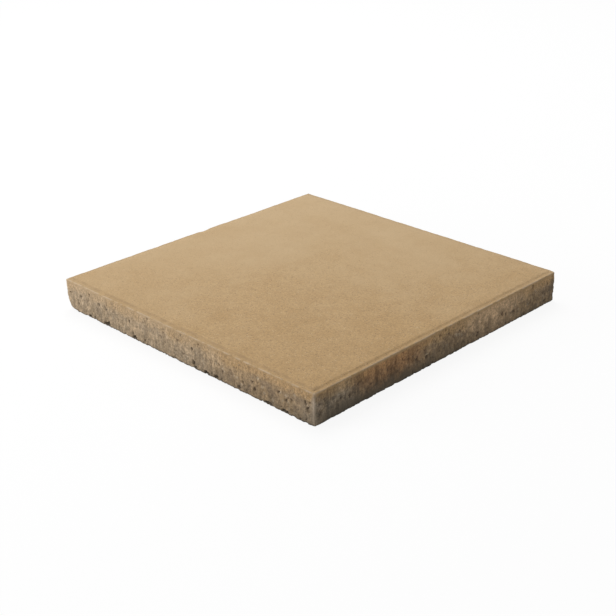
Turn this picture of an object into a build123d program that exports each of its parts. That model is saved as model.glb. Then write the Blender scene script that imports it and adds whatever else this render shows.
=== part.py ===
"""Square paving slab of sand-coloured concrete, cast and pressed as one piece.

The slab lies on its underside with its wearing face up. A stepped rim, left by the
press plate, runs round the wearing face: a gently sloping riser drops to a flat ledge,
and the ledge meets the upright sides. Millimetres, +Z up, with the origin at the
centre of the underside.
"""

import os
from math import atan2, degrees

from build123d import *

# Overall size
slab_length = 400.0  # along X
slab_width = 400.0  # along Y
slab_thickness = 38.0  # underside to wearing face

# Stepped rim round the wearing face
ledge_width = 4.0  # flat ledge between the sides and the foot of the riser
riser_height = 1.1  # the wearing face stands this far above the ledge
riser_run = 2.9  # the riser slopes in by this much on its way up

# Rounded corners and arrises
upright_radius = 1.5  # upright edges where two sides meet
field_corner_radius = 4.0  # plan corners of the raised wearing face, at the riser's foot
face_arris_radius = 2.0  # riser to wearing face
riser_root_radius = 1.5  # ledge to riser
ledge_arris_radius = 0.8  # side to ledge
underside_arris_radius = 1.5  # side to underside, crumbled when the mould is stripped

ledge_level = slab_thickness - riser_height
field_length = slab_length - 2 * ledge_width
field_width = slab_width - 2 * ledge_width
riser_lean = degrees(atan2(riser_run, riser_height))


def level_faces(part):
    """Flat faces of the slab that lie level, in order from the underside up."""
    return part.faces().filter_by(Plane.XY).sort_by(Axis.Z)


with BuildPart() as paving_slab:
    # Body of the slab, up to the ledge
    with BuildSketch():
        RectangleRounded(slab_length, slab_width, upright_radius)
    extrude(amount=ledge_level)

    # Wearing face, raised above the ledge on a riser that slopes inwards
    with BuildSketch(Plane.XY.offset(ledge_level)):
        RectangleRounded(field_length, field_width, field_corner_radius)
    extrude(amount=riser_height, taper=riser_lean)

    # Arrises, from the wearing face down to the underside
    wearing_face = level_faces(paving_slab)[-1]
    fillet(wearing_face.edges(), radius=face_arris_radius)

    ledge = level_faces(paving_slab)[1]
    fillet(ledge.inner_wires()[0].edges(), radius=riser_root_radius)

    ledge = level_faces(paving_slab)[1]
    fillet(ledge.outer_wire().edges(), radius=ledge_arris_radius)

    underside = level_faces(paving_slab)[0]
    fillet(underside.edges(), radius=underside_arris_radius)

paving_slab.part.label = "paving_slab"

os.makedirs("parts", exist_ok=True)
export_step(paving_slab.part, "parts/paving_slab.step")
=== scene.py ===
"""Looks of a square, sand-coloured concrete paving slab.

The slab is one casting, so it is one piece here too. Its mesh starts as a grid for the
wearing face, which is drawn out ring by ring over the stepped rim, down the sides and
under the slab. A relief then pits the sides, crumbles the lower edge and wears the
corners, and a finish colours the sandy face and the greyer, coarser mix below it.
Metres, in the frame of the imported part.
"""

import logging
import math
from collections.abc import Sequence
from dataclasses import dataclass
from enum import Enum
from functools import partial, reduce
from typing import NamedTuple

import bpy
import numpy as np
from mathutils import Matrix, Vector


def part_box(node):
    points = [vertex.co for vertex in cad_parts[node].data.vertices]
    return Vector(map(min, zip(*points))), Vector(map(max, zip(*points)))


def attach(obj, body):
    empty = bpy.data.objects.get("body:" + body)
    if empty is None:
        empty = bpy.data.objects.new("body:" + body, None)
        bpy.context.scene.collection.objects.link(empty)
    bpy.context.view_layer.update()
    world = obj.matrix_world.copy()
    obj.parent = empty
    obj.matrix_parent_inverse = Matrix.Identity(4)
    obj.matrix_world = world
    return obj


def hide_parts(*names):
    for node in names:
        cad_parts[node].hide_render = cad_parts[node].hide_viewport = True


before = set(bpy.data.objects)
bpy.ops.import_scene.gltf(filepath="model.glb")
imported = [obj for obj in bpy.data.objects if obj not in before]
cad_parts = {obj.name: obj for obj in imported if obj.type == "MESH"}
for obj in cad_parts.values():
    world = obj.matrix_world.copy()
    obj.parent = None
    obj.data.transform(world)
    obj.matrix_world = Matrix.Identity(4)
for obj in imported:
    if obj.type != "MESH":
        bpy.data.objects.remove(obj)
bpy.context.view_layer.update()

log = logging.getLogger("paving_slab")

MM = 0.001
SLAB_NODE = "paving_slab"
SLAB_BODY = "root"
WHITE = (1.0, 1.0, 1.0)
NOISE_MIDDLE = 0.5
SAND_SPACING = 1.3 * MM  # from grain to grain
LEAST_LENGTH = 0.001 * MM  # stands in for a length of zero where it is divided by
MIX_COLOURS = slice(6, 8)  # the two colour inputs of a Mix node
MIXED_COLOUR = 2  # its colour output

Socket = bpy.types.NodeSocket
Triple = tuple[float, float, float]
Number = Socket | float
Place = Socket | Triple
Colour = Socket | Triple


class Mark(Enum):
    """Numbers that the relief leaves on the slab's points, for the finish to read."""

    COARSE = "coarse"
    PIT = "pit"
    HOLLOW = "hollow"
    WORN = "wear_and_highlight"


class MathStep(Enum):
    """Sums that a node tree works out on numbers."""

    ADD = "ADD"
    SUBTRACT = "SUBTRACT"
    MULTIPLY = "MULTIPLY"
    DIVIDE = "DIVIDE"
    LARGER = "MAXIMUM"
    SMALLER = "MINIMUM"
    SIZE = "ABSOLUTE"
    SIGN = "SIGN"
    BELOW = "LESS_THAN"


class VectorStep(Enum):
    """Sums that a node tree works out on places and directions."""

    ADD = "ADD"
    SUBTRACT = "SUBTRACT"
    MULTIPLY = "MULTIPLY"
    LARGER = "MAXIMUM"
    LENGTH = "LENGTH"


class Blend(Enum):
    """Ways of laying one colour over another."""

    OVER = "MIX"
    TINT = "MULTIPLY"


class Span(NamedTuple):
    """A level that goes smoothly from low to high while a value passes from start to end."""

    start: float
    end: float
    low: float = 0.0
    high: float = 1.0


class Cloud(NamedTuple):
    """Cloudy noise: the width of its lumps, its count of finer layers and their strength."""

    lump: float
    layers: float = 2.0
    strength: float = 0.5


class Mottle(NamedTuple):
    """Cloudy noise whose thin and thick parts are drawn out to two levels."""

    cloud: Cloud
    span: Span


class Warp(NamedTuple):
    """A wandering shift: the width of the stretches that shift alike, and how far they go."""

    lump: float
    reach: float


class NodeSketch:
    """Adds nodes to one tree and joins them, in a relief and in a finish alike."""

    def __init__(self, tree: bpy.types.NodeTree) -> None:
        """Keeps the tree that the nodes go into."""
        self.tree = tree

    def node(self, kind: str, *terms: object, **settings: object) -> bpy.types.Node:
        """Adds one node.

        Args:
            kind: Blender's name for the kind of node.
            terms: what the node's first inputs get, in order.
            settings: the node's own options, by name.

        Returns:
            The new node.
        """
        made = self.tree.nodes.new(kind)
        for name, value in settings.items():
            setattr(made, name, value)
        for socket, term in zip(made.inputs, terms):
            self.feed(socket, term)
        return made

    def feed(self, socket: Socket, value: object) -> None:
        """Gives an input its value.

        Args:
            socket: the input.
            value: an output to join to it, a number, a place, a name or a colour.
        """
        if isinstance(value, bpy.types.NodeSocket):
            self.tree.links.new(value, socket)
        elif socket.type == "RGBA":
            socket.default_value = (*value, 1.0)
        else:
            socket.default_value = value

    def sum(self, step: MathStep, *terms: Number) -> Socket:
        """Works out one sum on numbers."""
        return self.node("ShaderNodeMath", *terms, operation=step.value).outputs[0]

    def add(self, *terms: Number) -> Socket:
        """Adds any count of numbers together."""
        return reduce(partial(self.sum, MathStep.ADD), terms)

    def times(self, *terms: Number) -> Socket:
        """Multiplies any count of numbers together."""
        return reduce(partial(self.sum, MathStep.MULTIPLY), terms)

    def less(self, value: Number, taken: Number) -> Socket:
        """Takes one number from another."""
        return self.sum(MathStep.SUBTRACT, value, taken)

    def larger(self, first: Number, second: Number) -> Socket:
        """The larger of two numbers."""
        return self.sum(MathStep.LARGER, first, second)

    def at_least(self, share: Socket, low: float) -> Socket:
        """Lifts a share, so that it goes from low to 1."""
        return self.add(low, self.times(share, 1.0 - low))

    def fade(
        self, value: Number, start: Number, end: Number, low: float = 0.0, high: float = 1.0
    ) -> Socket:
        """Goes smoothly from one level to another as a value passes from start to end.

        Args:
            value: the number that is followed.
            start: where the change starts.
            end: where it ends, which may be below the start.
            low: the level before the start.
            high: the level past the end.

        Returns:
            The output that holds the level.
        """
        terms = (value, start, end, low, high)
        made = self.node("ShaderNodeMapRange", *terms, interpolation_type="SMOOTHSTEP")
        return made.outputs[0]

    def split(self, place: Socket) -> Sequence[Socket]:
        """The three numbers of a place or a direction."""
        return self.node("ShaderNodeSeparateXYZ", place).outputs

    def join(self, x: Number, y: Number, z: Number) -> Socket:
        """A place or a direction from its three numbers."""
        return self.node("ShaderNodeCombineXYZ", x, y, z).outputs[0]

    def even(self, value: Number) -> Socket:
        """Three numbers that are the same, as a direction or a grey."""
        return self.join(value, value, value)

    def move(self, step: VectorStep, *terms: Place) -> Socket:
        """Works out one sum on places or directions."""
        return self.node("ShaderNodeVectorMath", *terms, operation=step.value).outputs["Vector"]

    def scale(self, way: Socket, share: Number) -> Socket:
        """Draws a way out, or in, by a share of its length."""
        return self.move(VectorStep.MULTIPLY, way, self.even(share))

    def squash(self, place: Socket, share: float) -> Socket:
        """Multiplies the heights of places, so what is drawn on them stands taller or flatter."""
        return self.move(VectorStep.MULTIPLY, place, (1.0, 1.0, share))

    def length(self, way: Socket) -> Socket:
        """How long a way is."""
        made = self.node("ShaderNodeVectorMath", way, operation=VectorStep.LENGTH.value)
        return made.outputs["Value"]

    def distance(self, place: Socket, spot: Place) -> Socket:
        """How far places are from a spot."""
        return self.length(self.move(VectorStep.SUBTRACT, place, spot))

    def noise(self, place: Socket, cloud: Cloud) -> Socket:
        """Cloudy noise, from 0 to 1 and mostly near the middle."""
        return self._noise_node(place, cloud).outputs[0]

    def swing(self, place: Socket, cloud: Cloud) -> Socket:
        """Cloudy noise with its middle at 0."""
        return self.less(self.noise(place, cloud), NOISE_MIDDLE)

    def mottle(self, place: Socket, mottle: Mottle) -> Socket:
        """Cloudy noise between the two levels of a mottle."""
        return self.fade(self.noise(place, mottle.cloud), *mottle.span)

    def warp(self, place: Socket, warp: Warp) -> Socket:
        """Shifts places about, so that what is drawn on them loses its even outline.

        Args:
            place: the places.
            warp: the shift.

        Returns:
            The output that holds the shifted places.
        """
        noise = self._noise_node(place, Cloud(warp.lump)).outputs["Color"]
        swing = self.move(VectorStep.SUBTRACT, noise, (NOISE_MIDDLE,) * 3)
        return self.move(VectorStep.ADD, place, self.scale(swing, warp.reach))

    def _noise_node(self, place: Socket, cloud: Cloud) -> bpy.types.Node:
        """Adds a noise texture.

        Args:
            place: where the noise is read.
            cloud: the kind of noise.

        Returns:
            The new node.
        """
        made = self.node("ShaderNodeTexNoise", place)
        self.feed(made.inputs["Scale"], 1.0 / cloud.lump)
        self.feed(made.inputs["Detail"], cloud.layers)
        self.feed(made.inputs["Roughness"], cloud.strength)
        return made

    def grains(self, place: Socket, spacing: float) -> tuple[Socket, Sequence[Socket]]:
        """Points strewn about one spacing apart, each with three random numbers of its own.

        Args:
            place: where the points are looked for.
            spacing: mean distance between them.

        Returns:
            The distance to the nearest point, in metres, and that point's three numbers.
        """
        made = self.node("ShaderNodeTexVoronoi", place)
        self.feed(made.inputs["Scale"], 1.0 / spacing)
        lots = self.node("ShaderNodeTexWhiteNoise", made.outputs["Color"])
        return self.times(made.outputs["Distance"], spacing), self.split(lots.outputs["Color"])

    def colour(
        self, share: Number, first: Colour, second: Colour, blend: Blend = Blend.OVER
    ) -> Socket:
        """Lays a second colour over a first.

        Args:
            share: how much of the second shows.
            first: the colour below.
            second: the colour above.
            blend: the way it is laid.

        Returns:
            The output that holds the mixed colour.
        """
        made = self.node("ShaderNodeMix", share, data_type="RGBA", blend_type=blend.value)
        for socket, colour in zip(made.inputs[MIX_COLOURS], (first, second)):
            self.feed(socket, colour)
        return made.outputs[MIXED_COLOUR]

    def tint(self, share: Number, colour: Colour, shade: Socket) -> Socket:
        """Makes a colour lighter or darker, by a shade that is 1 where it stays as it is."""
        return self.colour(share, colour, self.even(shade), Blend.TINT)

    def shader(self, kind: str, colour: Triple) -> Socket:
        """A plain shader of one colour."""
        return self.node(kind, colour).outputs[0]

    def layered(self, share: Number, first: Socket, second: Socket) -> Socket:
        """Two shaders mixed, by the share of the second."""
        return self.node("ShaderNodeMixShader", share, first, second).outputs[0]


@dataclass(frozen=True)
class Ring:
    """One square ring of the slab's outline, by its half width and its height."""

    half_width: float
    height: float

    def gap(self, other: "Ring") -> float:
        """Level or upright distance from another ring, whichever is more."""
        return max(abs(self.half_width - other.half_width), abs(self.height - other.height))


@dataclass(frozen=True)
class Corner:
    """A corner of the slab's section, before it is rounded."""

    half_width: float
    height: float
    radius: float = 0.0

    @property
    def point(self) -> Vector:
        """The corner as a point of the section."""
        return Vector((self.half_width, self.height))


@dataclass
class PavingSlab:
    """The slab's sizes, and the methods that draw its mesh and dress it."""

    half_width: float
    thickness: float
    ledge_width: float = 4.0 * MM
    riser_height: float = 1.1 * MM
    riser_run: float = 2.9 * MM
    field_corner: float = 4.0 * MM
    face_arris: float = 2.0 * MM
    riser_root: float = 1.5 * MM
    ledge_arris: float = 0.8 * MM
    underside_arris: float = 1.5 * MM
    margin: float = 6.0 * MM  # between a rounded edge and the grid inside it
    arc_steps: int = 3
    face_cells: int = 92
    rim_cuts: int = 3
    side_cuts: int = 32
    ledge_cuts: int = 2
    weld_gap: float = 0.05 * MM  # points nearer than this are merged
    ring_gap: float = 0.02 * MM  # points nearer than this to a ring are on it

    @classmethod
    def from_frame(cls) -> "PavingSlab":
        """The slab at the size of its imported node."""
        low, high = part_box(SLAB_NODE)
        return cls(half_width=(high.x - low.x) / 2, thickness=high.z - low.z)

    @property
    def ledge_level(self) -> float:
        """Height of the ledge round the wearing face."""
        return self.thickness - self.riser_height

    @property
    def field_half(self) -> float:
        """Half width of the raised field, at the foot of its riser."""
        return self.half_width - self.ledge_width

    @property
    def face_half(self) -> float:
        """Half width of the wearing face, at the head of its riser."""
        return self.field_half - self.riser_run

    def spot(self, across: float, along: float, up: float) -> Triple:
        """A place on the slab, by shares of its half width and of its ledge's height."""
        return across * self.half_width, along * self.half_width, up * self.ledge_level

    def section(self) -> list[Ring]:
        """Draws the slab's section, with its corners rounded.

        Returns:
            The rings from the wearing face over the rim and down to the underside.
        """
        corners = (
            Corner(self.face_half - self.margin, self.thickness),
            Corner(self.face_half, self.thickness, self.face_arris),
            Corner(self.field_half, self.ledge_level, self.riser_root),
            Corner(self.half_width, self.ledge_level, self.ledge_arris),
            Corner(self.half_width, 0.0, self.underside_arris),
            Corner(self.half_width - self.margin, 0.0),
        )
        rings = [Ring(corners[0].half_width, corners[0].height)]
        for before, corner, after in zip(corners, corners[1:], corners[2:]):
            rings += self._rounded(before, corner, after)
        return [*rings, Ring(corners[-1].half_width, corners[-1].height)]

    def _rounded(self, before: Corner, corner: Corner, after: Corner) -> list[Ring]:
        """Rings along the arc that rounds one corner of the section.

        Args:
            before: the corner before it.
            corner: the corner that is rounded.
            after: the corner after it.

        Returns:
            The arc's rings, its two ends included.
        """
        coming = (corner.point - before.point).normalized()
        going = (after.point - corner.point).normalized()
        turn = math.atan2(coming.cross(going), coming.dot(going))
        start = corner.point - coming * corner.radius * math.tan(abs(turn) / 2)
        centre = start + coming.orthogonal() * math.copysign(corner.radius, turn)
        rings = []
        for step in range(self.arc_steps + 1):
            part = Matrix.Rotation(turn * step / self.arc_steps, 2)
            point = centre + part @ (start - centre)
            rings.append(Ring(point.x, point.y))
        return rings

    def build(self) -> bpy.types.Object:
        """Draws the slab's closed mesh, sharp and clean, before its relief.

        Returns:
            The new object, at the origin, unturned and unscaled.
        """
        rings = self.section()
        bpy.ops.object.select_all(action="DESELECT")
        slab = self._face_grid(rings[0])
        slab.name = "concrete_slab"
        bpy.ops.object.mode_set(mode="EDIT")
        bpy.context.tool_settings.mesh_select_mode = (False, True, False)
        bpy.ops.mesh.select_all(action="DESELECT")
        bpy.ops.mesh.select_non_manifold(
            extend=False,
            use_wire=False,
            use_multi_face=False,
            use_non_contiguous=False,
            use_verts=False,
        )
        for last, ring in zip(rings, rings[1:]):
            bpy.ops.mesh.extrude_region_move(
                TRANSFORM_OT_translate={"value": (0.0, 0.0, ring.height - last.height)}
            )
            growth = ring.half_width / last.half_width
            bpy.ops.transform.resize(value=(growth, growth, 1.0))
        self._face_grid(rings[-1])
        bpy.ops.mesh.select_all(action="SELECT")
        bpy.ops.mesh.remove_doubles(threshold=self.weld_gap)
        bpy.ops.mesh.normals_make_consistent(inside=False)
        self._divide(slab.data, rings)
        bpy.ops.object.mode_set(mode="OBJECT")
        return slab

    @staticmethod
    def dress(piece: bpy.types.Object, finish: bpy.types.Material) -> None:
        """Gives the slab's mesh its finish, all over."""
        piece.data.materials.clear()
        piece.data.materials.append(finish)

    def _face_grid(self, ring: Ring) -> bpy.types.Object:
        """Adds a level square grid inside a ring.

        Args:
            ring: the ring that the grid fills.

        Returns:
            The object that the grid is in.
        """
        bpy.ops.mesh.primitive_grid_add(
            x_subdivisions=self.face_cells,
            y_subdivisions=self.face_cells,
            size=2 * ring.half_width,
            location=(0.0, 0.0, ring.height),
        )
        if bpy.context.mode == "OBJECT":
            bpy.ops.object.transform_apply(location=True, rotation=False, scale=False)
        return bpy.context.object

    def _divide(self, mesh: bpy.types.Mesh, rings: list[Ring]) -> None:
        """Divides the rim and the sides finely enough to carry pits and chips.

        Args:
            mesh: the slab's mesh, in edit mode.
            rings: the rings that it was drawn from.
        """
        last = len(rings) - 1
        ends = self._edge_rings(mesh, rings)
        along = (ends[:, 0] == ends[:, 1]) & (ends[:, 0] > 0) & (ends[:, 0] < last)
        self._pick_edges(mesh, along)
        bpy.ops.mesh.subdivide(number_cuts=self.rim_cuts)

        divisions = (
            (self.side_cuts, self.ledge_level / 2),
            (self.ledge_cuts, self.ledge_width / 2),
        )
        for cuts, least in divisions:
            wide = [
                first for first in range(1, last - 1) if rings[first].gap(rings[first + 1]) > least
            ]
            ends = self._edge_rings(mesh, rings)
            lower = ends.min(axis=1)
            crossing = np.isin(lower, wide) & (ends.max(axis=1) == lower + 1)
            self._pick_edges(mesh, crossing)
            bpy.ops.mesh.subdivide(number_cuts=cuts)

    def _edge_rings(self, mesh: bpy.types.Mesh, rings: list[Ring]) -> np.ndarray:
        """Finds which rings the edges of the mesh end on.

        Args:
            mesh: the slab's mesh, in edit mode.
            rings: the rings that it was drawn from.

        Returns:
            Two ring numbers for each edge, -1 where an end is on no ring.
        """
        bpy.ops.object.mode_set(mode="OBJECT")
        places = np.empty(3 * len(mesh.vertices), np.float32)
        mesh.vertices.foreach_get("co", places)
        places = places.reshape(-1, 3)
        edges = np.empty(2 * len(mesh.edges), np.int32)
        mesh.edges.foreach_get("vertices", edges)
        bpy.ops.object.mode_set(mode="EDIT")
        reach = np.abs(places[:, :2]).max(axis=1)
        numbers = np.full(len(places), -1)
        for number, ring in enumerate(rings):
            away = np.hypot(reach - ring.half_width, places[:, 2] - ring.height)
            numbers[away < self.ring_gap] = number
        return numbers[edges.reshape(-1, 2)]

    @staticmethod
    def _pick_edges(mesh: bpy.types.Mesh, chosen: np.ndarray) -> None:
        """Leaves only the chosen edges selected.

        Args:
            mesh: the slab's mesh, in edit mode.
            chosen: for each edge, whether it is picked.
        """
        bpy.ops.mesh.select_all(action="DESELECT")
        bpy.ops.object.mode_set(mode="OBJECT")
        mesh.edges.foreach_set("select", chosen)
        bpy.ops.object.mode_set(mode="EDIT")


class SlabPoints:
    """The slab's points in one node tree, with the measures that relief and finish follow.

    Height is metres above the underside, drop is metres below the ledge, across and along
    are shares of the half width, reach is the larger of the distances from the middle along
    X and Y, and inset is how far inside the sides that is. A span whose name ends in one of
    these words follows that measure.
    """

    def __init__(self, sketch: NodeSketch, place: Socket, slab: PavingSlab) -> None:
        """Measures the points.

        Args:
            sketch: the tree that is drawn.
            place: the points.
            slab: the slab's sizes.
        """
        self.sketch = sketch
        self.place = place
        self.slab = slab
        self.x, self.y, self.height = sketch.split(place)
        self.drop = sketch.less(slab.ledge_level, self.height)
        self.across = sketch.times(self.x, 1.0 / slab.half_width)
        self.along = sketch.times(self.y, 1.0 / slab.half_width)
        self.offsets = [sketch.sum(MathStep.SIZE, value) for value in (self.x, self.y)]
        self.reach = sketch.larger(*self.offsets)
        self.inset = sketch.less(slab.half_width, self.reach)

    def gaps(self, half: float) -> list[Socket]:
        """Distances along X and Y from the nearer of two planes, each half from the middle."""
        return [self.sketch.less(half, offset) for offset in self.offsets]

    def rounding(self, gaps: Sequence[Number], rise: Number, radius: Number) -> Socket:
        """Moves the points near an edge or a corner inwards, on to a round of one radius.

        Args:
            gaps: distances from the planes that meet there, along X, Y and Z.
            rise: 1 where inwards is upwards, -1 where it is downwards.
            radius: the radius of the round, which may change from place to place.

        Returns:
            The shift of each point.
        """
        sketch = self.sketch
        inward_x, inward_y = (
            sketch.times(sketch.sum(MathStep.SIGN, value), -1.0) for value in (self.x, self.y)
        )
        short = sketch.move(VectorStep.SUBTRACT, sketch.even(radius), sketch.join(*gaps))
        short = sketch.move(VectorStep.LARGER, short, (0.0, 0.0, 0.0))
        away = sketch.larger(sketch.length(short), LEAST_LENGTH)
        share = sketch.less(1.0, sketch.sum(MathStep.DIVIDE, radius, away))
        shift = sketch.move(VectorStep.MULTIPLY, short, sketch.join(inward_x, inward_y, rise))
        return sketch.scale(shift, sketch.larger(share, 0.0))


@dataclass(frozen=True)
class Unevenness:
    """Hollows of one kind: how deep they go, and the noise that spreads and stretches them."""

    depth: float
    mottle: Mottle
    squash: float = 1.0

    def cut(self, points: SlabPoints) -> Socket:
        """Depth of the hollows at each point."""
        place = points.sketch.squash(points.place, self.squash)
        return points.sketch.times(points.sketch.mottle(place, self.mottle), self.depth)


@dataclass(frozen=True)
class CastSurface:
    """What the mould left: waves, the torn coarse mix, upright scrape marks, an uneven rim."""

    waves: Unevenness = Unevenness(0.5 * MM, Mottle(Cloud(45 * MM, 1.0), Span(0.45, 0.75)))
    tears: Unevenness = Unevenness(1.2 * MM, Mottle(Cloud(6 * MM, 3.0, 0.6), Span(0.45, 0.75)))
    scrapes: Unevenness = Unevenness(0.5 * MM, Mottle(Cloud(4 * MM), Span(0.45, 0.75)), 0.14)
    face: Unevenness = Unevenness(0.15 * MM, Mottle(Cloud(60 * MM, 1.0), Span(0.4, 0.8)))
    rim: Unevenness = Unevenness(0.35 * MM, Mottle(Cloud(12 * MM, 3.0), Span(0.35, 0.75)))
    rim_drop: Span = Span(1.5 * MM, 0.0)

    def depth(self, points: SlabPoints, below: Socket, coarse: Socket) -> Socket:
        """Depth of all of it together.

        Args:
            points: the points of the slab.
            below: 1 on the sides and the underside.
            coarse: how much of the coarse mix each point has.

        Returns:
            The depth.
        """
        sketch, slab = points.sketch, points.slab
        outside = sketch.fade(points.reach, slab.face_half - slab.riser_run, slab.face_half)
        on_rim = sketch.times(outside, sketch.fade(points.drop, *self.rim_drop))
        return sketch.add(
            sketch.times(self.waves.cut(points), below),
            sketch.times(self.tears.cut(points), coarse),
            sketch.times(self.scrapes.cut(points), below),
            self.face.cut(points),
            sketch.times(self.rim.cut(points), on_rim),
        )


@dataclass(frozen=True)
class PitKind:
    """Air holes and torn-out grains of one size."""

    spacing: float
    radius: float
    share: float
    depth: float


@dataclass(frozen=True)
class Pitting:
    """The pits of the sides and the underside, most of them in the coarse mix."""

    kinds: tuple[PitKind, ...] = (
        PitKind(spacing=10 * MM, radius=3.0 * MM, share=0.50, depth=2.4 * MM),
        PitKind(spacing=5 * MM, radius=1.7 * MM, share=0.55, depth=1.4 * MM),
    )
    warp: Warp = Warp(2.4 * MM, 4.0 * MM)
    squash: float = 0.6
    face_mix_share: float = 0.3  # pits of the face mix, for each in the coarse mix
    least_size: float = 0.4  # share of the full radius that the smallest pits have
    core: float = 0.5  # share of a pit's radius that is at full depth

    def cut(self, points: SlabPoints, below: Socket, coarse: Socket) -> tuple[Socket, Socket]:
        """Strews the pits.

        Args:
            points: the points of the slab.
            below: 1 on the sides and the underside.
            coarse: how much of the coarse mix each point has.

        Returns:
            How much of a pit each point is in, and its depth there.
        """
        sketch = points.sketch
        common = sketch.at_least(coarse, self.face_mix_share)
        tall = sketch.squash(sketch.warp(points.place, self.warp), self.squash)
        marks, depths = [], []
        for kind in self.kinds:
            gap, (chance, size, _) = sketch.grains(tall, kind.spacing)
            radius = sketch.times(sketch.at_least(size, self.least_size), kind.radius)
            inside = sketch.fade(gap, radius, sketch.times(radius, self.core))
            is_open = sketch.sum(MathStep.BELOW, chance, sketch.times(common, kind.share))
            mark = sketch.times(inside, is_open, below)
            marks.append(mark)
            depths.append(sketch.times(mark, kind.depth))
        return sketch.larger(*marks), sketch.larger(*depths)


@dataclass(frozen=True)
class Notch:
    """A hollow that a torn-out stone left, painted dark as shade, placed along a side by a share of
    its half.
    """

    along: float
    width: float
    height: float
    depth: float


@dataclass(frozen=True)
class TornFoot:
    """The notches that the photograph shows in the left side's foot."""

    notches: tuple[Notch, ...] = (
        Notch(0.79, width=5 * MM, height=2.4 * MM, depth=3.0 * MM),
        Notch(0.63, width=12 * MM, height=2.6 * MM, depth=4.0 * MM),
        Notch(0.38, width=9 * MM, height=2.6 * MM, depth=4.0 * MM),
        Notch(-0.13, width=6 * MM, height=2.0 * MM, depth=3.0 * MM),
        Notch(-0.22, width=10 * MM, height=2.4 * MM, depth=4.0 * MM),
        Notch(-0.29, width=7 * MM, height=3.2 * MM, depth=3.5 * MM),
        Notch(-0.68, width=14 * MM, height=1.8 * MM, depth=2.5 * MM),
        Notch(-0.80, width=12 * MM, height=1.8 * MM, depth=2.0 * MM),
    )
    level: float = 2.6 * MM
    warp: Warp = Warp(3 * MM, 3 * MM)
    lip: Span = Span(1.0, 0.6)  # in shares of a notch's half size

    def cut(self, points: SlabPoints) -> tuple[Socket, Socket]:
        """Cuts the notches.

        Args:
            points: the points of the slab.

        Returns:
            How much of a notch each point is in, and its depth there.
        """
        sketch, half = points.sketch, points.slab.half_width
        ragged = sketch.warp(points.place, self.warp)
        marks, depths = 0.0, 0.0
        for notch in self.notches:
            middle = (-half, notch.along * half, self.level)
            away = sketch.move(VectorStep.SUBTRACT, ragged, middle)
            shares = (2 / notch.width, 2 / notch.width, 1 / notch.height)
            away = sketch.length(sketch.move(VectorStep.MULTIPLY, away, shares))
            mark = sketch.fade(away, *self.lip)
            marks = sketch.larger(marks, mark)
            depths = sketch.larger(depths, sketch.times(mark, notch.depth))
        return marks, depths


@dataclass(frozen=True)
class Chip:
    """A corner or an edge that a blow or long wear rounded off more than the rest.

    Its place is given by shares of the slab's half width and of its ledge's height.
    """

    across: float
    along: float
    up: float
    reach: float
    radius: float


@dataclass(frozen=True)
class EdgeWear:
    """Rounding of the outer edges, the crumbled lower edge and the chips."""

    chips: tuple[Chip, ...] = (
        Chip(across=-1.0, along=1.0, up=0.0, reach=17 * MM, radius=5.5 * MM),
        Chip(across=1.0, along=-1.0, up=1.0, reach=9 * MM, radius=1.2 * MM),
        Chip(across=-1.0, along=-1.0, up=0.0, reach=9 * MM, radius=1.2 * MM),
        Chip(across=-1.0, along=-1.0, up=1.0, reach=14 * MM, radius=2.0 * MM),
        Chip(across=0.05, along=1.0, up=1.0, reach=12 * MM, radius=2.5 * MM),
    )
    chip_core: float = 0.2  # share of a chip's reach that has its full radius
    foot: float = 5 * MM  # height below which the lower edge's radius holds
    nibble: float = 1.0 * MM
    nibbles: Mottle = Mottle(Cloud(7 * MM, 4.0, 0.6), Span(0.42, 0.75))
    ledge_nibbles: float = 0.3  # share of the nibbling that the ledge's edge gets
    crumb: float = 1.8 * MM
    crumb_spacing: float = 9 * MM
    crumb_warp: Warp = Warp(6 * MM, 6 * MM)
    crumb_core: Span = Span(0.55 * crumb_spacing, 0.2 * crumb_spacing)
    crumb_share: float = 0.40
    crumb_sides: Span = Span(40 * MM, 10 * MM, 0.4, 1.0)
    crumb_drift: Mottle = Mottle(Cloud(50 * MM, 1.0), Span(0.4, 0.6, 0.25, 1.0))

    def shift(self, points: SlabPoints) -> Socket:
        """Rounds, crumbles and chips the edges.

        Args:
            points: the points of the slab.

        Returns:
            The shift of each point.
        """
        sketch, slab = points.sketch, points.slab
        nearer = sketch.sum(MathStep.SMALLER, points.height, points.drop)
        level_gap = sketch.larger(nearer, 0.0)
        rise = sketch.sum(MathStep.SIGN, sketch.less(points.drop, points.height))
        gaps = points.gaps(slab.half_width)

        low = sketch.fade(points.height, slab.ledge_level / 2, self.foot)
        radius = sketch.fade(low, 0.0, 1.0, slab.ledge_arris, slab.underside_arris)
        nibbles = sketch.mottle(points.place, self.nibbles)
        nibbles = sketch.times(nibbles, self.nibble, sketch.at_least(low, self.ledge_nibbles))
        radius = sketch.add(radius, nibbles, self._crumbs(points, low, gaps[0]))
        for chip in self.chips:
            away = sketch.distance(points.place, slab.spot(chip.across, chip.along, chip.up))
            core = self.chip_core * chip.reach
            radius = sketch.add(radius, sketch.fade(away, chip.reach, core, 0.0, chip.radius))
        return points.rounding((*gaps, level_gap), rise, radius)

    def _crumbs(self, points: SlabPoints, low: Socket, side_gap: Socket) -> Socket:
        """What crumbled off the lower edge, most of it on the left and right sides.

        Args:
            points: the points of the slab.
            low: 1 at the foot of the slab.
            side_gap: distance from the left or the right side.

        Returns:
            How much the edge's radius grows.
        """
        sketch = points.sketch
        ragged = sketch.warp(points.place, self.crumb_warp)
        gap, (chance, size, _) = sketch.grains(ragged, self.crumb_spacing)
        core = sketch.fade(gap, *self.crumb_core)
        loose = sketch.sum(MathStep.BELOW, chance, self.crumb_share)
        sides = sketch.fade(side_gap, *self.crumb_sides)
        drift = sketch.mottle(points.place, self.crumb_drift)
        return sketch.times(core, loose, size, low, sides, drift, self.crumb)


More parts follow.
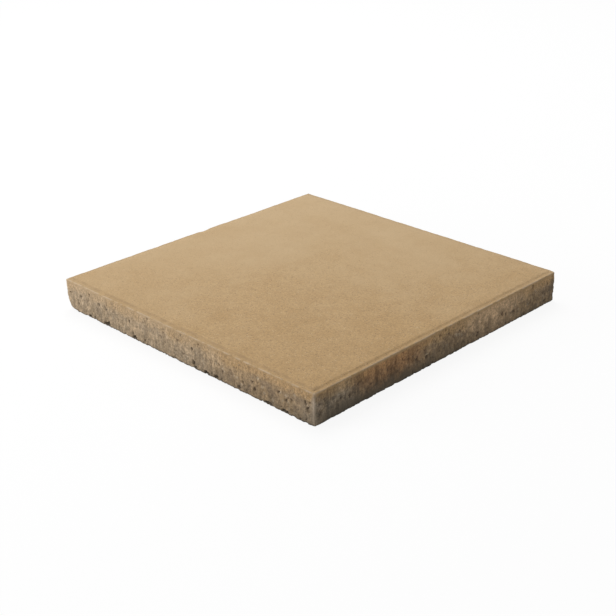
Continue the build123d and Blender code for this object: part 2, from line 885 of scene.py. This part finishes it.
@dataclass(frozen=True)
class RubbingAndHighlight:
    """The upright edges and the ledge's edge, where other slabs and hands rub them; the pale line
    along the ledge's edge is partly wear and partly a painted highlight.
    """

    patches: Mottle = Mottle(Cloud(7 * MM, 3.0), Span(0.35, 0.6))
    border: Cloud = Cloud(7 * MM, 3.0, 0.6)
    border_swing: float = 10 * MM
    upright: Span = Span(10 * MM, 5 * MM)
    upright_least: float = 0.4
    handled_across: Span = Span(0.9, 0.95, 1.0, 0.2)
    rim: Span = Span(1.8 * MM, 0.4 * MM, 0.0, 0.6)

    def share(self, points: SlabPoints) -> Socket:
        """Finds the places that wear lightened, with the painted highlight along the ledge's edge.

        Args:
            points: the points of the slab.

        Returns:
            How much wear and painted highlight each point has, from 0 to 1.
        """
        sketch = points.sketch
        patchy = sketch.mottle(points.place, self.patches)
        swing = sketch.times(sketch.noise(points.place, self.border), self.border_swing)
        corner = sketch.join(*points.gaps(points.slab.half_width), 0.0)
        off_upright = sketch.add(sketch.length(corner), swing)
        on_upright = sketch.times(
            sketch.fade(off_upright, *self.upright),
            sketch.fade(points.across, *self.handled_across),
            sketch.at_least(patchy, self.upright_least),
        )
        # pale line along the ledge's edge, partly wear and partly a painted highlight
        off_rim = sketch.length(sketch.join(points.inset, 0.0, points.drop))
        on_rim = sketch.times(sketch.fade(off_rim, *self.rim), patchy)
        return sketch.larger(on_upright, on_rim)


@dataclass(frozen=True)
class SlabRelief:
    """Relief that casting, stripping and stacking left on the slab. Every depth goes inwards."""

    slab: PavingSlab
    surface: CastSurface = CastSurface()
    pits: Pitting = Pitting()
    foot: TornFoot = TornFoot()
    edges: EdgeWear = EdgeWear()
    rubbing_and_highlight: RubbingAndHighlight = RubbingAndHighlight()
    side_drop: Span = Span(0.5 * MM, 4 * MM)
    corner_drop: Span = Span(1.5 * MM, 0.1 * MM)
    mix_drop: Span = Span(6 * MM, 16 * MM)
    mix_border: Cloud = Cloud(26 * MM, 5.0, 0.6)
    mix_swing: float = 20 * MM

    def shape(self, piece: bpy.types.Object) -> None:
        """Cuts the relief into a piece for good, and leaves its marks for the finish.

        Args:
            piece: the slab's clean mesh.
        """
        relief = piece.modifiers.new("relief", "NODES")
        relief.node_group = self._tree()
        bpy.ops.object.select_all(action="DESELECT")
        piece.select_set(True)
        bpy.context.view_layer.objects.active = piece
        bpy.ops.object.modifier_apply(modifier=relief.name)
        bpy.ops.object.shade_smooth()

    def _tree(self) -> bpy.types.NodeTree:
        """Draws the nodes that move the slab's points inwards and mark them.

        Returns:
            The new node tree.
        """
        tree = bpy.data.node_groups.new("slab_relief", "GeometryNodeTree")
        for way in ("INPUT", "OUTPUT"):
            tree.interface.new_socket("Geometry", in_out=way, socket_type="NodeSocketGeometry")
        sketch = NodeSketch(tree)
        shaped = sketch.node("NodeGroupInput").outputs[0]
        place = sketch.node("GeometryNodeInputPosition").outputs[0]
        normal = sketch.node("GeometryNodeInputNormal").outputs[0]
        points = SlabPoints(sketch, place, self.slab)

        below = sketch.fade(points.drop, *self.side_drop)
        coarse = self._coarse(points)
        pit, pit_depth = self.pits.cut(points, below, coarse)
        hollow, hollow_depth = self.foot.cut(points)
        depth = sketch.larger(pit_depth, hollow_depth)
        depth = sketch.add(self.surface.depth(points, below, coarse), depth)
        offset = sketch.scale(normal, sketch.times(depth, -1.0))
        for shift in (self.edges.shift(points), self._field_corners(points)):
            offset = sketch.move(VectorStep.ADD, offset, shift)

        # edges that wear lightened, with a painted highlight along the ledge's edge
        wear_and_highlight = self.rubbing_and_highlight.share(points)
        marks = {Mark.COARSE: coarse, Mark.PIT: pit, Mark.HOLLOW: hollow, Mark.WORN: wear_and_highlight}
        for mark, value in marks.items():
            kept = sketch.node("GeometryNodeStoreNamedAttribute", data_type="FLOAT", domain="POINT")
            sketch.feed(kept.inputs["Geometry"], shaped)
            sketch.feed(kept.inputs["Name"], mark.value)
            sketch.feed(kept.inputs["Value"], value)
            shaped = kept.outputs[0]
        moved = sketch.node("GeometryNodeSetPosition", shaped)
        sketch.feed(moved.inputs["Offset"], offset)
        sketch.node("NodeGroupOutput", moved.outputs[0])
        return tree

    def _coarse(self, points: SlabPoints) -> Socket:
        """Finds the coarse mix, below the fine face mix and with a wandering border.

        Args:
            points: the points of the slab.

        Returns:
            1 where the coarse mix shows.
        """
        sketch = points.sketch
        swing = sketch.times(sketch.swing(points.place, self.mix_border), self.mix_swing)
        return sketch.fade(sketch.less(points.drop, swing), *self.mix_drop)

    def _field_corners(self, points: SlabPoints) -> Socket:
        """Rounds the raised field's four corners in plan.

        Args:
            points: the points of the slab.

        Returns:
            The shift of each point.
        """
        sketch, slab = points.sketch, self.slab
        gaps = [sketch.larger(gap, 0.0) for gap in points.gaps(slab.field_half)]
        shift = points.rounding((*gaps, slab.half_width), 0.0, slab.field_corner)
        held = sketch.times(
            sketch.fade(points.drop, *self.corner_drop),
            sketch.fade(points.inset, 0.0, slab.ledge_width),
        )
        return sketch.scale(shift, held)


@dataclass(frozen=True)
class SideBloom:
    """Paler far part of the sides, as the photograph shows of the left one."""

    pale: Triple = (0.525, 0.408, 0.278)
    along: Span = Span(-0.6, 0.0, 0.0, 0.52)

    def over(self, points: SlabPoints, colour: Colour) -> Socket:
        """Lays the paler tone over a colour."""
        share = points.sketch.fade(points.along, *self.along)
        return points.sketch.colour(share, colour, self.pale)


@dataclass(frozen=True)
class FaceMix:
    """The fine sandy mix of the wearing face, with a paler far half that is partly a painted sheen.
    """

    sand: Triple = (0.455, 0.296, 0.139)
    deep_sand: Triple = (0.403, 0.256, 0.115)
    deep_mottle: Mottle = Mottle(Cloud(26 * MM, 4.0, 0.7), Span(0.35, 0.7, 0.0, 0.5))
    # paler colour of the far half, partly the concrete's own tone and partly a painted sheen
    bloom_and_sheen: Triple = (0.543, 0.393, 0.226)
    bloom_and_sheen_across: float = 0.42
    bloom_and_sheen_along: float = 0.55
    bloom_and_sheen_border: Cloud = Cloud(90 * MM, 3.0)
    bloom_and_sheen_swing: float = 1.6
    bloom_and_sheen_span: Span = Span(-1.3, 1.3)
    clear: Span = Span(0.2, 0.8, 1.0, 0.3)  # how much grain shows through the paler far half and its painted sheen
    side_sand: Triple = (0.503, 0.326, 0.162)
    side_bloom: SideBloom = SideBloom()
    side_drop: Span = Span(3 * MM, 0.0)
    grain_shade: Span = Span(0.0, 1.0, 0.90, 1.10)
    grain_core: Span = Span(0.85 * MM, 0.40 * MM)
    dark_grain: Triple = (0.250, 0.165, 0.085)
    dark_share: float = 0.06
    dark_strength: float = 0.9
    pale_grain: Triple = (0.600, 0.470, 0.310)
    pale_share: float = 0.04
    pale_strength: float = 0.6

    def colour(self, points: SlabPoints) -> Socket:
        """Colours the mix.

        Args:
            points: the points of the slab.

        Returns:
            The colour.
        """
        sketch = points.sketch
        far = sketch.add(
            sketch.times(points.across, self.bloom_and_sheen_across),
            sketch.times(points.along, self.bloom_and_sheen_along),
            sketch.times(sketch.swing(points.place, self.bloom_and_sheen_border), self.bloom_and_sheen_swing),
        )
        # share of the paler far half, partly a painted sheen
        bloom_and_sheen_share = sketch.fade(far, *self.bloom_and_sheen_span)
        face = sketch.colour(bloom_and_sheen_share, self.sand, self.bloom_and_sheen)
        side = self.side_bloom.over(points, self.side_sand)
        colour = sketch.colour(sketch.fade(points.drop, *self.side_drop), side, face)

        clear = sketch.fade(bloom_and_sheen_share, *self.clear)
        deep = sketch.times(sketch.mottle(points.place, self.deep_mottle), clear)
        colour = sketch.colour(deep, colour, self.deep_sand)
        gap, (tone, kind, _) = sketch.grains(points.place, SAND_SPACING)
        colour = sketch.tint(clear, colour, sketch.fade(tone, *self.grain_shade))
        core = sketch.times(sketch.fade(gap, *self.grain_core), clear)
        is_dark = sketch.sum(MathStep.BELOW, kind, self.dark_share)
        is_pale = sketch.sum(MathStep.BELOW, 1.0 - self.pale_share, kind)
        dark = sketch.times(core, is_dark, self.dark_strength)
        pale = sketch.times(core, is_pale, self.pale_strength)
        colour = sketch.colour(dark, colour, self.dark_grain)
        return sketch.colour(pale, colour, self.pale_grain)


@dataclass(frozen=True)
class BackingMix:
    """The coarser, greyer mix that shows on the lower sides and the underside."""

    warm: Triple = (0.420, 0.288, 0.160)
    grey: Triple = (0.338, 0.240, 0.146)
    grey_mottle: Mottle = Mottle(Cloud(15 * MM, 4.0, 0.65), Span(0.38, 0.62))
    side_bloom: SideBloom = SideBloom()
    streak: Mottle = Mottle(Cloud(3.5 * MM, 3.0), Span(0.3, 0.7, 0.88, 1.08))
    streak_squash: float = 0.15
    shade: Mottle = Mottle(Cloud(4.5 * MM), Span(0.33, 0.67, 0.84, 1.12))
    stone: Triple = (0.500, 0.400, 0.280)
    stone_spacing: float = 4.2 * MM
    stone_warp: Warp = Warp(3 * MM, 2 * MM)
    stone_core: Span = Span(2.2 * MM, 1.2 * MM, 0.0, 0.6)
    stone_share: float = 0.14

    def colour(self, points: SlabPoints) -> Socket:
        """Colours the mix.

        Args:
            points: the points of the slab.

        Returns:
            The colour.
        """
        sketch, place = points.sketch, points.place
        colour = sketch.colour(sketch.mottle(place, self.grey_mottle), self.warm, self.grey)
        colour = self.side_bloom.over(points, colour)
        upright = sketch.squash(place, self.streak_squash)
        colour = sketch.tint(1.0, colour, sketch.mottle(upright, self.streak))
        colour = sketch.tint(1.0, colour, sketch.mottle(place, self.shade))
        gap, (_, kind, _) = sketch.grains(sketch.warp(place, self.stone_warp), self.stone_spacing)
        is_stone = sketch.sum(MathStep.BELOW, kind, self.stone_share)
        stones = sketch.times(sketch.fade(gap, *self.stone_core), is_stone)
        return sketch.colour(stones, colour, self.stone)


@dataclass(frozen=True)
class Patch:
    """A patch of another colour on the front side, placed by shares as a chip is."""

    across: float
    up: float
    reach: float
    colour: Triple
    strength: float


@dataclass(frozen=True)
class SideTones:
    """Patches, speckles, streaks and blotches of the sides, strongest on the shaded front one."""

    patches: tuple[Patch, ...] = (
        Patch(-0.45, 1.0, reach=75 * MM, colour=(0.400, 0.200, 0.080), strength=0.66),
        Patch(-0.50, 0.1, reach=50 * MM, colour=(0.180, 0.115, 0.062), strength=0.45),
        Patch(0.42, 0.9, reach=75 * MM, colour=(0.700, 0.490, 0.295), strength=0.7),
        Patch(-0.85, 0.2, reach=50 * MM, colour=(0.310, 0.272, 0.212), strength=0.5),
        Patch(-1.0, 0.66, reach=13 * MM, colour=(0.680, 0.540, 0.400), strength=0.6),
        Patch(1.0, 0.5, reach=22 * MM, colour=(0.130, 0.098, 0.066), strength=0.6),
    )
    patch_warp: Warp = Warp(12 * MM, 16 * MM)
    patch_squash: float = 1.5
    patch_core: float = 0.3
    side_drop: Span = Span(1 * MM, 5 * MM)
    front_along: Span = Span(-0.97, -0.99, 0.3, 1.0)
    speckle: Mottle = Mottle(Cloud(2.2 * MM, 3.0, 0.7), Span(0.33, 0.67, 0.72, 1.24))
    streak: Mottle = Mottle(Cloud(7 * MM, 5.0, 0.7), Span(0.35, 0.65, 0.58, 1.34))
    streak_squash: float = 0.25
    streak_across: Span = Span(-0.6, -0.1, 1.0, 0.35)
    blotch: Mottle = Mottle(Cloud(10 * MM, 4.0, 0.65), Span(0.36, 0.64, 0.66, 1.24))
    blotch_drop: Span = Span(3 * MM, 18 * MM, 0.25, 1.0)

    def over(self, points: SlabPoints, colour: Socket) -> Socket:
        """Lays the tones over a colour.

        Args:
            points: the points of the slab.
            colour: the colour below.

        Returns:
            The toned colour.
        """
        sketch, place = points.sketch, points.place
        below = sketch.fade(points.drop, *self.side_drop)
        ragged = sketch.warp(place, self.patch_warp)
        for patch in self.patches:
            middle = points.slab.spot(patch.across, -1.0, patch.up)
            away = sketch.move(VectorStep.SUBTRACT, ragged, middle)
            away = sketch.length(sketch.squash(away, self.patch_squash))
            inside = sketch.fade(away, patch.reach, self.patch_core * patch.reach)
            share = sketch.times(inside, below, patch.strength)
            colour = sketch.colour(share, colour, patch.colour)

        colour = sketch.tint(below, colour, sketch.mottle(place, self.speckle))
        front = sketch.times(below, sketch.fade(points.along, *self.front_along))
        streak = sketch.mottle(sketch.squash(place, self.streak_squash), self.streak)
        share = sketch.times(front, sketch.fade(points.across, *self.streak_across))
        colour = sketch.tint(share, colour, streak)
        share = sketch.times(front, sketch.fade(points.drop, *self.blotch_drop))
        return sketch.tint(share, colour, sketch.mottle(place, self.blotch))


@dataclass(frozen=True)
class StainsAndShade:
    """The dark foot of the sides, partly wetness and partly painted shade, with a painted shadow
    along its lowest edge, and the dirt and painted shade along the riser.
    """

    # darker towards the foot, partly wetness and partly painted shade, weaker on the lit left side
    # and strongest near the front's left end
    damp_and_shade: Triple = (0.132, 0.108, 0.076)
    damp_and_shade_height: Span = Span(15 * MM, -7 * MM)
    damp_and_shade_across: Span = Span(-0.99, -0.90, 0.44, 1.0)
    soaked_and_shaded_across: float = -0.7
    soaked_and_shaded: Span = Span(240 * MM, 40 * MM, 0.40, 0.95)
    creep: Cloud = Cloud(9 * MM, 4.0, 0.6)
    creep_height: float = 14 * MM
    # near-black painted shadow along the line on which the slab stands, also painted into the
    # notches
    painted_foot_shadow: Triple = (0.030, 0.025, 0.020)
    contact_height: Span = Span(1.5 * MM, -1.5 * MM, 0.0, 0.9)
    contact_creep: float = 0.25
    side_inset: Span = Span(5 * MM, 2.5 * MM)
    # dirt and painted shade along the riser, mostly the left one, and on the ledge
    grime_and_shade: Triple = (0.300, 0.200, 0.105)
    grime_and_shade_patches: Mottle = Mottle(Cloud(14 * MM, 3.0), Span(0.3, 0.65, 0.15, 0.55))
    grime_and_shade_drop: Span = Span(1.5 * MM, 0.3 * MM)
    riser_runs: Span = Span(0.9, 0.3)  # runs of the riser, from its middle
    riser_across: Span = Span(-0.9, -0.95, 0.1, 1.0)
    ledge_off: Span = Span(-0.5 * MM, 1.0 * MM, 0.0, 0.4)  # from the riser's foot outwards

    def over(self, points: SlabPoints, colour: Socket) -> Socket:
        """Lays the dark foot, its painted shadow and the dirt and painted shade of the rim over a
        colour.

        Args:
            points: the points of the slab.
            colour: the colour below.

        Returns:
            The darkened colour.
        """
        sketch = points.sketch
        outer = sketch.fade(points.inset, *self.side_inset)
        # the dark foot, partly painted shade, then the painted shadow at the very bottom
        for share, foot_darkening in zip(self._foot(points), (self.damp_and_shade, self.painted_foot_shadow)):
            colour = sketch.colour(sketch.times(share, outer), colour, foot_darkening)
        # dirt and painted shade along the riser and the ledge
        return sketch.colour(self._rim(points), colour, self.grime_and_shade)

    def _foot(self, points: SlabPoints) -> tuple[Socket, Socket]:
        """Finds the dark foot of the sides.

        Args:
            points: the points of the slab.

        Returns:
            How dark the foot is at each point, partly wetness and partly painted shade, and how
            dark the painted shadow is along the line on which the slab stands.
        """
        sketch = points.sketch
        darkest_spot = points.slab.spot(self.soaked_and_shaded_across, -1.0, 0.0)
        soaked_and_shaded = sketch.fade(sketch.distance(points.place, darkest_spot), *self.soaked_and_shaded)
        # painted shade: weaker on the lit left side
        shaded = sketch.fade(points.across, *self.damp_and_shade_across)
        creep = sketch.times(sketch.noise(points.place, self.creep), self.creep_height)
        crept = sketch.fade(sketch.less(points.height, creep), *self.damp_and_shade_height)
        little = sketch.times(creep, self.contact_creep)
        line = sketch.fade(sketch.less(points.height, little), *self.contact_height)
        return sketch.times(crept, soaked_and_shaded, shaded), line

    def _rim(self, points: SlabPoints) -> Socket:
        """Finds the dirt and painted shade on the riser, mostly the left one, and on the ledge.

        Args:
            points: the points of the slab.

        Returns:
            How much dirt and painted shade each point has.
        """
        sketch, slab = points.sketch, points.slab
        past_field = sketch.less(points.reach, slab.field_half)
        off_riser = sketch.sum(MathStep.SIZE, sketch.add(past_field, slab.riser_run / 2))
        runs_off = sketch.times(off_riser, 1.0 / slab.riser_run)
        riser = sketch.times(
            sketch.fade(runs_off, *self.riser_runs),
            sketch.fade(points.across, *self.riser_across),
        )
        return sketch.times(
            sketch.larger(riser, sketch.fade(past_field, *self.ledge_off)),
            sketch.fade(points.drop, *self.grime_and_shade_drop),
            sketch.mottle(points.place, self.grime_and_shade_patches),
        )


@dataclass(frozen=True)
class GrainBump:
    """Fine sandy relief, stronger on the coarse mix."""

    fine: Cloud = Cloud(0.9 * MM, 3.0, 0.7)
    fine_height: float = 0.2 * MM
    grain_slope: float = -0.15
    rough: Cloud = Cloud(2.4 * MM, 4.0, 0.65)
    rough_height: float = 0.9 * MM
    strength: float = 0.6
    height_scale: float = 1.0

    def normal(self, points: SlabPoints, coarse: Socket) -> Socket:
        """Bumps the surface.

        Args:
            points: the points of the slab.
            coarse: how much of the coarse mix each point has.

        Returns:
            The bumped normal.
        """
        sketch, place = points.sketch, points.place
        gap, _ = sketch.grains(place, SAND_SPACING)
        height = sketch.add(
            sketch.times(sketch.noise(place, self.fine), self.fine_height),
            sketch.times(gap, self.grain_slope),
            sketch.times(sketch.noise(place, self.rough), coarse, self.rough_height),
        )
        bump = sketch.node("ShaderNodeBump")
        sketch.feed(bump.inputs["Strength"], self.strength)
        sketch.feed(bump.inputs["Distance"], self.height_scale)
        sketch.feed(bump.inputs["Height"], height)
        return bump.outputs[0]


@dataclass(frozen=True)
class ConcreteFinish:
    """Dry, matt concrete: a sandy face mix over a greyer, coarser one."""

    face: FaceMix = FaceMix()
    backing: BackingMix = BackingMix()
    tones: SideTones = SideTones()
    stains_and_shade: StainsAndShade = StainsAndShade()
    bump: GrainBump = GrainBump()
    # paler colour of edges that wear lightened, partly a painted highlight along the ledge's edge
    rubbed_and_highlight: Triple = (0.600, 0.480, 0.350)
    rubbed_and_highlight_share: float = 0.80
    # painted shade in the pits
    painted_pit_shade: Triple = (0.095, 0.068, 0.045)
    painted_pit_shade_share: float = 0.80
    hollow_share: float = 0.90
    roughness: float = 0.90
    rubbed_roughness: float = 0.75
    specular: float = 0.4

    def material(self, slab: PavingSlab) -> bpy.types.Material:
        """Draws the finish as a node material.

        Args:
            slab: the slab that it is made for.

        Returns:
            The new material.
        """
        made = bpy.data.materials.new("sandy_concrete")
        made.use_nodes = True
        sketch = NodeSketch(made.node_tree)
        place = sketch.node("ShaderNodeTexCoord").outputs["Object"]
        points = SlabPoints(sketch, place, slab)
        coarse, pit, hollow, wear_and_highlight = (
            sketch.node("ShaderNodeAttribute", attribute_name=mark.value).outputs["Fac"]
            for mark in Mark
        )
        colour = sketch.colour(coarse, self.face.colour(points), self.backing.colour(points))
        colour = self.tones.over(points, colour)
        colour = self.stains_and_shade.over(points, colour)
        for share, strength, top in (
            # lighter edges, partly wear and partly a painted highlight
            (wear_and_highlight, self.rubbed_and_highlight_share, self.rubbed_and_highlight),
            # painted shade in the pits
            (pit, self.painted_pit_shade_share, self.painted_pit_shade),
            # painted shade in the notches
            (hollow, self.hollow_share, self.stains_and_shade.painted_foot_shadow),
        ):
            colour = sketch.colour(sketch.times(share, strength), colour, top)
        roughness = sketch.fade(wear_and_highlight, 0.0, 1.0, self.roughness, self.rubbed_roughness)
        inputs = made.node_tree.nodes["Principled BSDF"].inputs
        sketch.feed(inputs["Base Color"], colour)
        sketch.feed(inputs["Roughness"], roughness)
        sketch.feed(inputs["Specular IOR Level"], self.specular)
        sketch.feed(inputs["Normal"], self.bump.normal(points, coarse))
        return made


def direction(azimuth: float, elevation: float) -> Vector:
    """The way from the slab to a camera or a lamp.

    Args:
        azimuth: degrees round the slab, 0 in front of it at -Y and 90 at +X.
        elevation: degrees above the floor.

    Returns:
        A vector of length one.
    """
    turn, rise = math.radians(azimuth), math.radians(elevation)
    level = math.cos(rise)
    return Vector((math.sin(turn) * level, -math.cos(turn) * level, math.sin(rise)))


@dataclass(frozen=True)
class Lamp:
    """A square soft box that faces the slab. Its level is a share of plain daylight there."""

    name: str
    azimuth: float
    elevation: float
    distance: float
    width: float
    level: float

    @property
    def watts(self) -> float:
        """Power at which a surface that faces the lamp from the slab gets its level of light."""
        return self.level * math.pi ** 2 * self.distance ** 2

    def place(self) -> None:
        """Adds the lamp to the scene."""
        light = bpy.data.lights.new(self.name, "AREA")
        light.shape = "SQUARE"
        light.size = self.width
        light.energy = self.watts
        lamp = bpy.data.objects.new(self.name, light)
        towards = direction(self.azimuth, self.elevation)
        lamp.location = towards * self.distance
        lamp.rotation_euler = towards.to_track_quat("Z", "Y").to_euler()
        lamp.visible_camera = False
        bpy.context.collection.objects.link(lamp)


@dataclass(frozen=True)
class Studio:
    """White floor and surroundings, soft lamps and the camera at the photograph's angle."""

    lamps: tuple[Lamp, ...] = (
        Lamp("back_box", azimuth=152.0, elevation=60.0, distance=3.0, width=2.0, level=0.66),
        Lamp("side_box", azimuth=-128.0, elevation=14.0, distance=1.8, width=0.8, level=0.49),
    )
    floor_size: float = 12.0
    floor_albedo: float = 0.55
    floor_glow: float = 0.90
    sky_level: float = 0.36
    lens_mm: float = 70.0
    azimuth: float = -45.23
    elevation: float = 24.93
    roll: float = -0.74
    distance: float = 1.3832
    aim_right: float = -0.0032
    aim_up: float = -0.0380

    def build(self, aim_level: float) -> None:
        """Sets the whole studio up.

        Args:
            aim_level: height of the point that the camera is set by.
        """
        scene = bpy.context.scene
        scene.view_settings.view_transform = "Standard"
        self._floor()
        self._sky(scene)
        for lamp in self.lamps:
            lamp.place()
        self._camera(scene, aim_level)

    @staticmethod
    def _seen(sketch: NodeSketch) -> Socket:
        """Tells what is looked at from what only lights the slab.

        Args:
            sketch: the tree that is drawn.

        Returns:
            1 for rays that come straight from the camera, a reflection or a clear body.
        """
        path = sketch.node("ShaderNodeLightPath").outputs
        straight = sketch.larger(path["Is Camera Ray"], path["Is Glossy Ray"])
        return sketch.larger(straight, path["Is Transmission Ray"])

    def _floor(self) -> None:
        """Adds the floor, which looks white and keeps a soft shadow."""
        bpy.ops.object.select_all(action="DESELECT")
        bpy.ops.mesh.primitive_plane_add(size=self.floor_size)
        floor = bpy.context.object
        floor.name = "studio_floor"
        paint = bpy.data.materials.new("white_floor")
        paint.use_nodes = True
        paint.node_tree.nodes.clear()
        sketch = NodeSketch(paint.node_tree)
        lit = sketch.shader("ShaderNodeBsdfDiffuse", WHITE)
        glow = sketch.shader("ShaderNodeEmission", WHITE)
        looks = sketch.layered(self.floor_glow, lit, glow)
        bounce = sketch.shader("ShaderNodeBsdfDiffuse", (self.floor_albedo,) * 3)
        whole = sketch.layered(self._seen(sketch), bounce, looks)
        sketch.node("ShaderNodeOutputMaterial", whole)
        floor.data.materials.append(paint)

    def _sky(self, scene: bpy.types.Scene) -> None:
        """Surrounds the slab with an even sky that looks white.

        Args:
            scene: the scene that gets the sky.
        """
        sky = bpy.data.worlds.new("studio_sky")
        sky.use_nodes = True
        scene.world = sky
        sketch = NodeSketch(sky.node_tree)
        strength = sketch.fade(self._seen(sketch), 0.0, 1.0, self.sky_level, 1.0)
        background = sky.node_tree.nodes["Background"].inputs
        sketch.feed(background["Color"], WHITE)
        sketch.feed(background["Strength"], strength)

    def _camera(self, scene: bpy.types.Scene, aim_level: float) -> None:
        """Adds the camera.

        Args:
            scene: the scene that looks through it.
            aim_level: height of the point that it is set by.
        """
        back = direction(self.azimuth, self.elevation)
        turn = math.radians(self.azimuth)
        level = Vector((math.cos(turn), math.sin(turn), 0.0))
        rise = back.cross(level)
        tilt = math.radians(self.roll)
        right = level * math.cos(tilt) + rise * math.sin(tilt)
        up = rise * math.cos(tilt) - level * math.sin(tilt)
        lens = bpy.data.cameras.new("camera")
        lens.lens = self.lens_mm
        camera = bpy.data.objects.new("camera", lens)
        aim = Vector((0.0, 0.0, aim_level)) + right * self.aim_right + up * self.aim_up
        stand = Matrix((right, up, back)).transposed().to_4x4()
        stand.translation = aim + back * self.distance
        camera.matrix_world = stand
        bpy.context.collection.objects.link(camera)
        scene.camera = camera


def main() -> None:
    """Builds the slab and its studio."""
    logging.basicConfig(level=logging.INFO, format="%(name)s: %(message)s")
    slab = PavingSlab.from_frame()
    piece = slab.build()
    SlabRelief(slab).shape(piece)
    slab.dress(piece, ConcreteFinish().material(slab))
    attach(piece, SLAB_BODY)
    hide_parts(SLAB_NODE)
    triangles = sum(len(face.vertices) - 2 for face in piece.data.polygons)
    log.info("%s: %d triangles, on body %s", piece.name, triangles, SLAB_BODY)

    Studio().build(slab.ledge_level)


if __name__ == "__main__":
    main()
